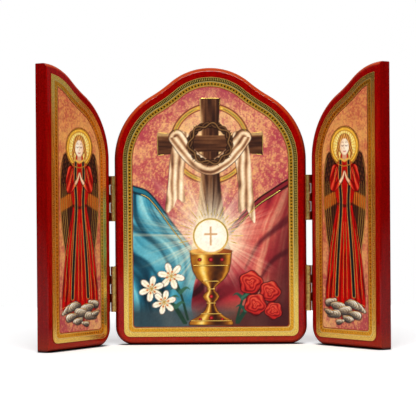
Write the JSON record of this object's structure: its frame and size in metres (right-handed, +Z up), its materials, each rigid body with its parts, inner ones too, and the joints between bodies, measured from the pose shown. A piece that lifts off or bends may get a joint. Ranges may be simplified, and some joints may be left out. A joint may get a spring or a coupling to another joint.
{
  "type": "triptych altarpiece",
  "caption": "Free-standing folding triptych: an ogee-topped lacquered board with a gold-framed picture, and hinged half-width wings that fold over it.",
  "frame": {"origin": "middle of the centre board's underside", "axes": "+Z up, +X to the viewer's right, -Y towards the viewer, out of the pictures"},
  "size_m": [0.1878, 0.0514, 0.153],
  "materials": {
    "red_lacquer": "glossy red lacquer over wood",
    "printed_foil": "glossy print with gold foil frame",
    "brass": "polished"
  },
  "bodies": {
    "centre": {"centre_board": "red_lacquer", "centre_plate": "printed_foil", "left_upper_hinge_centre_leaf": "brass", "left_upper_hinge_pin": "brass", "left_upper_hinge_centre_screw_1": "brass", "left_upper_hinge_centre_screw_2": "brass", "left_lower_hinge_centre_leaf": "brass", "left_lower_hinge_pin": "brass", "left_lower_hinge_centre_screw_1": "brass", "left_lower_hinge_centre_screw_2": "brass", "right_upper_hinge_centre_leaf": "brass", "right_upper_hinge_pin": "brass", "right_upper_hinge_centre_screw_1": "brass", "right_upper_hinge_centre_screw_2": "brass", "right_lower_hinge_centre_leaf": "brass", "right_lower_hinge_pin": "brass", "right_lower_hinge_centre_screw_1": "brass", "right_lower_hinge_centre_screw_2": "brass"},
    "left_wing": {"left_wing_board": "red_lacquer", "left_wing_plate": "printed_foil", "left_upper_hinge_wing_leaf": "brass", "left_upper_hinge_wing_screw_1": "brass", "left_upper_hinge_wing_screw_2": "brass", "left_lower_hinge_wing_leaf": "brass", "left_lower_hinge_wing_screw_1": "brass", "left_lower_hinge_wing_screw_2": "brass"},
    "right_wing": {"right_wing_board": "red_lacquer", "right_wing_plate": "printed_foil", "right_upper_hinge_wing_leaf": "brass", "right_upper_hinge_wing_screw_1": "brass", "right_upper_hinge_wing_screw_2": "brass", "right_lower_hinge_wing_leaf": "brass", "right_lower_hinge_wing_screw_1": "brass", "right_lower_hinge_wing_screw_2": "brass"}
  },
  "joints": [
    {"name": "left_wing_hinge", "type": "hinge", "parent": "centre", "child": "left_wing", "pos_m": [-0.0538, -0.00485, 0], "axis": [0, 0, 1], "range_deg": [-55.5, 126]},
    {"name": "right_wing_hinge", "type": "hinge", "parent": "centre", "child": "right_wing", "pos_m": [0.0538, -0.00485, 0], "axis": [0, 0, -1], "range_deg": [-50, 131.5]}
  ]
}
